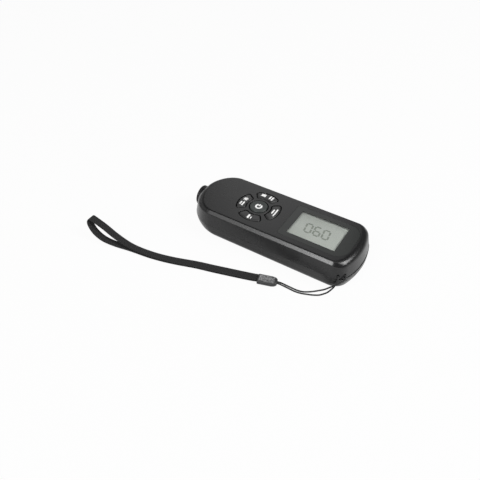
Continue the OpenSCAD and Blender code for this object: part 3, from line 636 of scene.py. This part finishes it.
def window_ring(grow, z, count=20):
    """Outline of the window's pocket: small corners towards the keys and large ones at the display end."""
    t = corner_angles(count)
    large, small = pane_end_corner - pane_fit, pane_key_corner - pane_fit
    r = np.repeat([pane_end_corner, pane_key_corner, pane_key_corner, pane_end_corner], count) + grow
    cx = np.repeat([pane_x1 - large, pane_x0 + small, pane_x0 + small, pane_x1 - large], count)
    cy = np.repeat([pane_half - large, pane_half - small, small - pane_half, large - pane_half], count)
    return at_height(cx + r * np.cos(t), cy + r * np.sin(t), z)


cutter_over = 0.7


def opening(ring, floor, rim):
    """Cutter that goes down to floor and flares at the top face in a quarter round of radius rim."""
    t = np.radians(np.linspace(0, 80, 6))
    flare = zip(rim * (1 - np.cos(t)), top_z - rim + rim * np.sin(t))
    levels = [(0, floor), *flare, (rim + cutter_over, top_z + cutter_over)]
    return stacked([ring(grow, z) for grow, z in levels])


def lid_rings(deep, tongue, edge, ease, corner):
    """Rings of the lid from its ceiling down the inner wall, over the rebate for the tub's tongue, round the
    lower edge and up the outer wall. Deep thickens the ceiling's corner, tongue is the rebate's inset, edge
    and ease give the lower edge, and corner is the profile of the top edge."""
    rebate = [(10.2, 1 + tongue, 0), (10.2, tongue, 0), (edge, tongue, 0), (edge, tongue - 1, ease)]
    return housing_rings(eased([(17.8 - deep, 2.9 + deep, 0), *rebate, *corner], 7))


side_rings = lid_rings(deep=0, tongue=1.0, edge=8.75, ease=0.1,
                       corner=[(18, 0.9, 0.35), (top_z, 2.9, 0.6), (top_z, 4.4, 0)])
display_rings = lid_rings(deep=1, tongue=0.15, edge=8.95, ease=0.2,
                          corner=[(17.6, 0.8, 1.3), (top_z, 3.4, 1.8), (top_z, 6.2, 0)])
nose_rings = lid_rings(deep=1, tongue=1.0, edge=8.75, ease=0.1,
                       corner=[(17.4, 1.5, 1.3), (top_z, 4.2, 1.6), (top_z, 6.2, 0)])
key_floor, key_rim = 17, 0.15
power_hole, petal_gap = 6.5, 0.7
pane_gap, pane_rim = 0.03, 0.04
shell = make_mesh("upper_shell", [stacked(towards_ends(side_rings, display_rings, nose_rings))])
shell = carve(shell, "DIFFERENCE", nose_bore(), *lanyard_slots(),
              opening(lambda g, z: round_ring(keypad_x, 0, power_hole + g, z, 96), key_floor, key_rim),
              *[opening(lambda g, z, turn=turn: petal_ring(turn, petal_gap + g, z), key_floor, key_rim)
                for turn in petal_turns.values()],
              opening(lambda g, z: window_ring(pane_gap + g, z), pane_z0, pane_rim))
display_hole, display_hole_z = (11.2, 47.6, -13.5, 13.5), (17, 19.2)
shell = carve(shell, "DIFFERENCE", stacked([box_ring(*display_hole, z) for z in display_hole_z]))
keep_flat(add_piece("upper_shell", shell, housing_black, "housing", "housing", "top_shell"))


# Battery door, housing screws, cells and contacts. The door is a dark moulded plate with thumb grooves; the
# cells have plain wrapped cans; the contacts are nickel-plated spring wire and strip.
def dress(finish, *names):
    """Gives CAD nodes a finish."""
    for name in names:
        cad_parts[name].data.materials.clear()
        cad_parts[name].data.materials.append(finish)


dress(moulded_black("door_black", (0.034, 0.034, 0.0345), rough=0.42), "battery_door")
# The door's loose triangles are welded, then its edges are rounded.
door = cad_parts["battery_door"]
door.modifiers.new("weld", "WELD").merge_threshold = 1e-6
bevel = door.modifiers.new("ease", "BEVEL")
bevel.width, bevel.segments = 0.2 * MM, 3
bevel.limit_method, bevel.angle_limit = "ANGLE", math.radians(35)
keep_flat(door)


def bright_metal(name, colour, rough, lines):
    """Metal with fine drawn or turned lines along one direction; lines gives how close they lie along x, y
    and z."""
    material, s = new_finish(name)
    where = s.node("VectorMath", {0: place(s), 1: lines}, operation="MULTIPLY")
    streak = s.node("TexNoise", {"Vector": where, "Scale": 1, "Detail": 4})
    low = [v * 0.8 for v in colour]
    return set_finish(material, Base_Color=streak.blend(low, colour), Metallic=1.0,
                      Roughness=streak * 0.2 + rough, Normal=streak.bump(strength=0.1, depth=0.00003))


zinc = bright_metal("zinc_screw", (0.6, 0.61, 0.63), rough=0.28, lines=(6, 6, 0.5))
dress(zinc, "housing_screws", "board_screws")
nickel = bright_metal("nickel_contact", (0.68, 0.66, 0.62), rough=0.2, lines=(0.6, 5, 5))
dress(nickel, "battery_springs", "battery_plates")
can, s = new_finish("cell_wrap")
x, *_ = split(place(s))
cell_middle, band_from = 19.4, 15.0
band = abs(x - cell_middle).ramp(band_from, band_from + 0.3)
scuff = noise(s, scale=0.8, detail=5)
set_finish(can, Base_Color=(band * 0.8 + scuff * 0.2).blend((0.05, 0.07, 0.1), (0.42, 0.4, 0.36)),
           Metallic=0.3, Roughness=0.25 + scuff * 0.2, Coat_Weight=0.4)
dress(can, "cell_near", "cell_far")

# Circuit board and what is soldered to it. The board has green solder mask over copper tracks, and carries
# a moulded controller, a buzzer and five tact switches with stamped cans.
mask, s = new_finish("green_solder_mask")
x, *_ = split(place(s))
track = (x * 1.7).wave().ramp(0.8, 0.9)
patch = s.node("TexVoronoi", {"Vector": place(s), "Scale": 0.35})
set_finish(mask, Base_Color=(track * 0.6 + patch * 0.25).blend((0.008, 0.06, 0.02), (0.03, 0.16, 0.05)),
           Roughness=0.3, Coat_Weight=0.3, Normal=track.bump(strength=0.3, depth=0.00005))
dress(mask, "main_board")
dress(moulded_black("component_black", (0.014, 0.014, 0.014), rough=0.5), "controller_chip", "buzzer")
dress(bright_metal("switch_can", (0.6, 0.6, 0.6), rough=0.3, lines=(4, 0.5, 4)), "key_switches")

# Display. A grey-green reflective cell with dark seven-segment figures stands on a white frame and takes its
# signals through a striped elastomer strip.
guide, s = new_finish("frame_white")
haze = noise(s, scale=0.3, detail=3)
set_finish(guide, Base_Color=haze.blend((0.68, 0.68, 0.65), (0.8, 0.8, 0.77)), Roughness=0.5)
dress(guide, "lcd_frame")
stripe, s = new_finish("elastomer_stripes")
x, *_ = split(place(s))
bars = s.math("SINE", x * 12) > 0.0
set_finish(stripe, Base_Color=bars.blend((0.02, 0.02, 0.02), (0.6, 0.42, 0.42)), Roughness=0.6)
dress(stripe, "zebra_strip")

(glass_x0, glass_y0, glass_z0), (glass_x1, glass_y1, glass_z1) = np.array(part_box("lcd_glass")) / MM
glass_foot, glass_edge = 0.25, 0.15
levels = [(glass_foot, glass_z0), (0, glass_z0 + glass_foot), (0, glass_z1 - glass_edge),
          (glass_edge, glass_z1)]
glass_rings = [box_ring(glass_x0 + g, glass_x1 - g, glass_y0 + g, glass_y1 - g, z, 0.5) for g, z in levels]
cell_grey, s = new_finish("display_grey_green")
x, y, _ = split(place(s))
mottle = noise(s, scale=0.12, detail=2)
mesh_lines = (x * 5.5).wave() * (y * 5.5).wave()
tone = mottle * 0.7 + mesh_lines * 0.3
set_finish(cell_grey, Base_Color=tone.blend((0.41, 0.442, 0.405), (0.463, 0.487, 0.45)), Roughness=0.32,
           Specular_IOR_Level=0.3, Normal=mesh_lines.bump(strength=0.06, depth=0.00003))
add_piece("lcd_cell", [stacked(glass_rings)], cell_grey, "housing", "lcd", "lcd_glass")


def stroke(points, width, lift, thick=0.03):
    """Flat ribbon of a print along a plan line: its edges lie half a width to each side of the line, square
    to it. Its underside is at the height lift(x, y)."""
    p = np.asarray(points, float)
    ahead = np.gradient(p, axis=0)
    side = np.stack((-ahead[:, 1], ahead[:, 0]), -1) / np.linalg.norm(ahead, axis=1)[:, None] * width / 2
    ring = np.stack((p - side, p + side, p + side, p - side), 1)
    return stacked(np.dstack((ring, lift(ring[..., 0], ring[..., 1]) + np.array([0, 0, thick, thick]))))


# The figures lean a little. Each segment is a straight stroke between two points of a figure 4 wide and 8
# high.
SEGMENTS = {
    "a": ((0.5, 8), (3.5, 8)), "b": ((4, 7.6), (4, 4.4)), "c": ((4, 3.6), (4, 0.4)),
    "d": ((0.5, 0), (3.5, 0)), "e": ((0, 3.6), (0, 0.4)), "f": ((0, 7.6), (0, 4.4)),
    "g": ((0.5, 4), (3.5, 4)),
}
figure_lean, figure_foot, figure_stroke = 0.13, -4.4, 1.2
figure_z = glass_z1 + 0.01
figure_parts = []
for left, lit in ((21.5, "abcdef"), (27.5, "afgedc"), (33.5, "abcdef")):
    for segment in lit:
        ends = np.array(SEGMENTS[segment])
        line = ends[:1] + (ends[1:] - ends[:1]) * np.linspace(0, 1, 4)[:, None]
        line[:, 0] += left - figure_lean * line[:, 1]
        line[:, 1] += figure_foot
        figure_parts.append(stroke(line, figure_stroke, lambda u, v: np.full(u.shape, figure_z)))
figure_black, s = new_finish("figure_black")
fade = noise(s, scale=0.4, detail=2)
set_finish(figure_black, Base_Color=fade.blend((0.2, 0.22, 0.19), (0.26, 0.285, 0.25)), Roughness=0.5)
add_piece("lcd_figures", figure_parts, figure_black, "housing", "lcd")

# Window panel. A clear acrylic plate let into the upper shell with its face just under flush. It is printed
# black all round, except over the display.
pane_top, print_above = 19.96, 19.45
levels = [(-0.25, pane_z0), (-0.03, 19.3), (-0.03, 19.9), (-0.05, 19.94), (-0.1, pane_top), (-0.13, pane_top),
          (-1.2, pane_top)]
view_x, view_half_x, view_half_y, view_edge = 29.4, 16.15, 11.45, 0.1
pane, s = new_finish("window_acrylic")
x, y, z = split(place(s))
border_x = abs(x - view_x).ramp(view_half_x, view_half_x + view_edge)
border_y = abs(y).ramp(view_half_y, view_half_y + view_edge)
printed = (z > print_above) * (1 - (1 - border_x) * (1 - border_y))
ripple = noise(s, scale=0.05, detail=1)
set_finish(pane, Base_Color=ripple.blend((0.009, 0.0105, 0.0095), (0.015, 0.017, 0.0155)),
           Roughness=0.16 + ripple * 0.06, Alpha=printed * 0.94 + 0.06, Specular_IOR_Level=0.5,
           Normal=ripple.bump(strength=0.02, depth=0.001))
add_piece("window_panel", [stacked([window_ring(g, z) for g, z in levels])], pane, "housing", "window",
          "display_window")

# Keys. A dished round power key in the middle of four petal keys, each with a flange under the top wall that
# keeps it in its opening. White printed signs: a power sign, a sun, and plain bars.
print_white, s = new_finish("print_white")
wear = noise(s, scale=1.2, detail=4)
set_finish(print_white, Base_Color=wear.blend((0.76, 0.76, 0.75), (0.9, 0.9, 0.89)), Roughness=0.5)
key_black = moulded_black("petal_key_black", (0.034, 0.034, 0.034), rough=0.4)
power_black = moulded_black("power_key_black", (0.033, 0.038, 0.036), rough=0.4)
flange_z0, flange_z1, flange_out = 16.7, 17.5, 0.8
power_r, power_edge_z, power_edge = 5.85, 19.85, 0.55
dish_r, dish_depth = 5.3, 0.25


def dish(x, y):
    """Height of the power key's face: a hollow, deepest in the middle, that rises with the square of the
    distance from there."""
    out = np.minimum(1, ((x - keypad_x) ** 2 + y**2) / dish_r**2)
    return power_edge_z + power_edge - dish_depth * (1 - out)


bend, face_r = np.linspace(0.2, np.pi / 2, 6), np.linspace(5.0, 0.4, 14)
power_levels = [
    (power_r + flange_out, flange_z0), (power_r + flange_out, flange_z1), (power_r, flange_z1),
    (power_r, power_edge_z),
    *zip(power_r - power_edge * (1 - np.cos(bend)), power_edge_z + power_edge * np.sin(bend)),
    *zip(face_r, dish(keypad_x + face_r, 0)),
]
power_rings = [round_ring(keypad_x, 0, r, z, 96) for r, z in power_levels]
add_piece("power_key_cap", [stacked(power_rings)], power_black, "power_key", "power_key", "power_key")
sign_arc = polar(1.85, np.radians(np.linspace(122, 418, 40))) + [keypad_x, 0]
sign_stem = np.stack((keypad_x + np.zeros(5), np.linspace(0.2, 2.3, 5)), -1)
power_sign = [stroke(line, width, lambda u, v: dish(u, v) - 0.005)
              for line, width in ((sign_arc, 1.1), (sign_stem, 0.8))]
add_piece("power_key_sign", power_sign, print_white, "power_key", "power_key")

petal_edge_z, petal_edge = 19.75, 0.25
# The petal's face, as (distance in from its edge, height).
CROWN = [(0.1, 19.97), (0.4, 20.12), (0.7, 20.23), (1.0, 20.29), (1.2, 20.3)]
bend = np.linspace(0, 1.1, 6)
petal_levels = [
    (flange_out, flange_z0), (flange_out, flange_z1), (0, flange_z1), (0, petal_edge_z),
    *zip(-petal_edge * (1 - np.cos(bend)), petal_edge_z + petal_edge * np.sin(bend)),
    *[(-inside, z) for inside, z in CROWN[1:]],
]
for name, turn in petal_turns.items():
    petal_rings = [petal_ring(turn, g, z) for g, z in petal_levels]
    add_piece(name + "_cap", [stacked(petal_rings)], key_black, name, "petal_key", name)


def crown(x, y):
    """Height of a petal key's face, just under its surface: it falls off towards the ring's two arcs."""
    r = np.hypot(x - keypad_x, y)
    return np.interp(np.minimum(r - petal_in, petal_out - r), *zip(*CROWN)) - 0.008


def bar(x0, y0, x1, y1, width):
    """Straight printed stroke on a petal key, placed from the keypad's middle."""
    line = np.array([x0, y0]) + np.array([x1 - x0, y1 - y0]) * np.linspace(0, 1, 9)[:, None] + [keypad_x, 0]
    return stroke(line, width, crown)


sun_middle = np.array([-11.1, 2.1])
sun = [bar(*(sun_middle + polar(1.0, ray)), *(sun_middle + polar(1.7, ray)), 0.45)
       for ray in np.radians(np.arange(0, 360, 45))]
sun.append(stroke(sun_middle + [keypad_x, 0] + polar(0.6, np.linspace(0, 2 * np.pi, 24)), 1.1, crown))
SIGNS = {
    "nose_key": [*sun, bar(-12.0, -4.2, -12.0, -1.2, 1.0), bar(-10.3, -4.9, -10.3, -0.8, 1.0)],
    "far_key": [bar(-4.4, 11.5, -1.2, 11.5, 2.3), bar(-3.5, 12.9, -2.1, 12.9, 0.9),
                bar(2.1, 9.9, 2.1, 13.3, 1.0), bar(3.9, 9.6, 3.9, 13.1, 1.0)],
    "display_key": [bar(10.6, -1.9, 10.6, 2.4, 0.95), bar(12.5, -3.6, 12.5, 3.7, 0.9)],
    "near_key": [bar(-0.6, -13.6, -0.6, -10.1, 1.35), bar(1.4, -13.3, 1.4, -11.4, 0.6)],
}
for name, parts in SIGNS.items():
    add_piece(name + "_signs", parts, print_white, name, "petal_key")

# Probe. A black collar screwed into the nose guides a steel sleeve that slides in against a spring; the hard
# polished tip stands out of its face. The coil, pole core and nut sit behind it.
collar_low, collar_high = box_mm("probe_collar")
collar_face, collar_r = collar_low[0], collar_high[1]
collar_bore, collar_tube, collar_seat = 4.5, 5.4, -56
collar_line = eased([
    (-49, collar_bore, 0), (collar_face, collar_bore, 0.3), (collar_face, collar_r, 0.5),
    (-58.2, collar_r, 0.1), (-58.1, collar_r - 0.15, 0.05), (-57.8, collar_r - 0.15, 0.05),
    (-57.7, collar_r, 0.1), (collar_seat, collar_r, 0), (collar_seat, collar_tube, 0),
    (-49.1, collar_tube, 0),
], 5)
around = circle(120)
# The profile of (x, radius) is turned about the probe's axis, and its last ring is joined to its first.
collar_x, collar_out = collar_line[np.r_[:len(collar_line), 0]].T[..., None]
collar_grid = np.stack((collar_x + 0 * around, collar_out * np.cos(around),
                        probe_z + collar_out * np.sin(around)), -1)
collar_faces = ring_faces(len(collar_grid), len(around))[:-2]
collar_black = moulded_black("collar_black", (0.01, 0.01, 0.0103), rough=0.38, gloss=0.3)
add_piece("probe_collar_ring", [(collar_grid, collar_faces)], collar_black, "housing", "collar",
          "probe_collar")
dress(bright_metal("brass_nut", (0.75, 0.56, 0.25), rough=0.3, lines=(0.6, 4, 4)), "collar_nut")
steel = bright_metal("ground_steel", (0.56, 0.56, 0.57), rough=0.25, lines=(5, 0.6, 0.6))
dress(steel, "probe_sleeve", "probe_core")

# The spring is a helix between the sleeve's flange and the stop, made at its rest length; the real one
# closes up as the probe goes in.
spring_x0, spring_run, spring_turns = -47.2, 5.4, 5
spring_r, wire_r = 3.7, 0.3
t = np.linspace(0, 2 * np.pi * spring_turns, 241)
wire_out = np.stack((0 * t, np.cos(t), np.sin(t)), -1)
helix = np.stack((spring_x0 + spring_run * t / t[-1], 0 * t, 0 * t + probe_z), -1) + spring_r * wire_out
wire_up = np.cross(headings(helix), wire_out)
around = circle(12)
spring_grid = sweep(helix, wire_out, wire_up, wire_r * np.cos(around), wire_r * np.sin(around))
spring = add_piece("probe_spring_wire", [stacked(spring_grid)], nickel, None, "spring_wire", "probe_spring")
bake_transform(spring)
winding, s = new_finish("copper_winding")
x, *_ = split(place(s))
wire = (x * 15).wave()
# The colour is darker in the grooves between the wire's turns: painted shade.
set_finish(winding, Base_Color=wire.blend((0.2, 0.06, 0.02), (0.6, 0.26, 0.1)), Metallic=0.8, Roughness=0.3,
           Normal=wire.bump(strength=0.6, depth=0.0001))
dress(winding, "probe_coil")

# Table and light. A white table keeps a faint shadow and can be looked through from below. Five soft lamps
# stand in front, to the left, above, to the right and behind, in a dim room with a bright band low on its
# left.
table_half, table_z = 4, -0.00003
table_mesh = bpy.data.meshes.new("table")
corners = [(x * table_half, y * table_half, table_z) for x, y in ((-1, -1), (1, -1), (1, 1), (-1, 1))]
table_mesh.from_pydata(corners, [], [(0, 1, 2, 3)])
table = bpy.data.objects.new("table", table_mesh)
bpy.context.scene.collection.objects.link(table)


def ray_kinds(shade):
    """Whether a ray comes from the camera, off a sheen, or through a clear piece: three values, 0 or 1."""
    kinds = ("Camera", "Glossy", "Transmission")
    return [shade.node("LightPath", {}, out=f"Is {kind} Ray") for kind in kinds]


paper, s = new_finish("table_white")
direct, shiny, through = ray_kinds(s)
set_finish(paper, Base_Color=(0.6, 0.6, 0.6, 1), Roughness=0.9, Specular_IOR_Level=0.1)
tree = paper.node_tree
matt = Shade(tree, tree.nodes["Principled BSDF"].outputs[0])
glow = s.node("Emission", {"Color": (1, 1, 1, 1), "Strength": 1.0})
x, y, _ = split(place(s))
# Painted reflection: rays off the gauge's sheen see the table glow white in a laid-out pattern, more at
# both ends and close to the sides, and a painted shade lowers it off the near corner.
along = x.ramp(5, 40) * 0.6 - x.ramp(50, 62) * 0.15 + x.ramp(-25, -75) * 0.6
close = abs(y).ramp(27, 22.5) * 0.85
far_corner = x.ramp(55, 75) * y.ramp(0, 20) * 0.35
painted_corner_shade = (abs(x - 57) + abs(y + 33)).ramp(22, 8) * 0.6
painted_reflection_glow = (0.13 + (along + close + far_corner - painted_corner_shade)).ramp(0, 1)
white = s.node("MixShader", {0: (direct + through) * 0.95 + shiny * painted_reflection_glow, 1: matt, 2: glow})
below = s.node("NewGeometry", {}, out="Backfacing")
surface = s.node("MixShader", {0: below, 1: white, 2: s.node("BsdfTransparent", {})})
tree.links.new(surface.socket, tree.nodes["Material Output"].inputs["Surface"])
table_mesh.materials.append(paper)

world = bpy.data.worlds.new("room")
bpy.context.scene.world = world
world.use_nodes = True
s = Shade(world.node_tree)
side, _, up = split(s.node("TexCoord", {}, out="Generated"))
left = side.ramp(0.2, -0.3)
horizon = up.ramp(0.02, 0.25) * (1 - up.ramp(0.35, 0.6))
direct, shiny, through = ray_kinds(s)
strength = direct + (1 - direct) * (0.2 + (shiny + through) * (horizon * left * 0.55 - 0.14))
sky = s.node("Background", {"Color": (1, 1, 1, 1), "Strength": strength})
world.node_tree.links.new(sky.socket, world.node_tree.nodes["World Output"].inputs["Surface"])


def soft_lamp(name, direction, distance, width, height, radiance):
    """Rectangular lamp that faces the gauge; its power is its area times pi times the wanted radiance."""
    lamp = bpy.data.lights.new(name, "AREA")
    lamp.shape, lamp.size, lamp.size_y = "RECTANGLE", width, height
    lamp.energy = radiance * math.pi * width * height
    made = bpy.data.objects.new(name, lamp)
    way = Vector(direction).normalized()
    made.location = way * distance
    made.rotation_mode = "QUATERNION"
    made.rotation_quaternion = (-way).to_track_quat("-Z", "Y")
    bpy.context.scene.collection.objects.link(made)


soft_lamp("key_softbox", (-0.12, -0.72, 0.68), distance=0.9, width=0.22, height=0.42, radiance=12.5)
soft_lamp("left_softbox", (-0.43, -0.65, 0.62), distance=0.9, width=0.36, height=0.42, radiance=2.0)
soft_lamp("top_softbox", (0.2, -0.1, 0.97), distance=0.9, width=0.5, height=0.5, radiance=0.5)
soft_lamp("right_softbox", (0.70, 0.17, 0.68), distance=0.9, width=0.42, height=0.46, radiance=11.0)
soft_lamp("back_softbox", (-0.35, 0.71, 0.615), distance=1.2, width=0.46, height=0.52, radiance=0.92)

bpy.context.scene.view_settings.view_transform = "Standard"
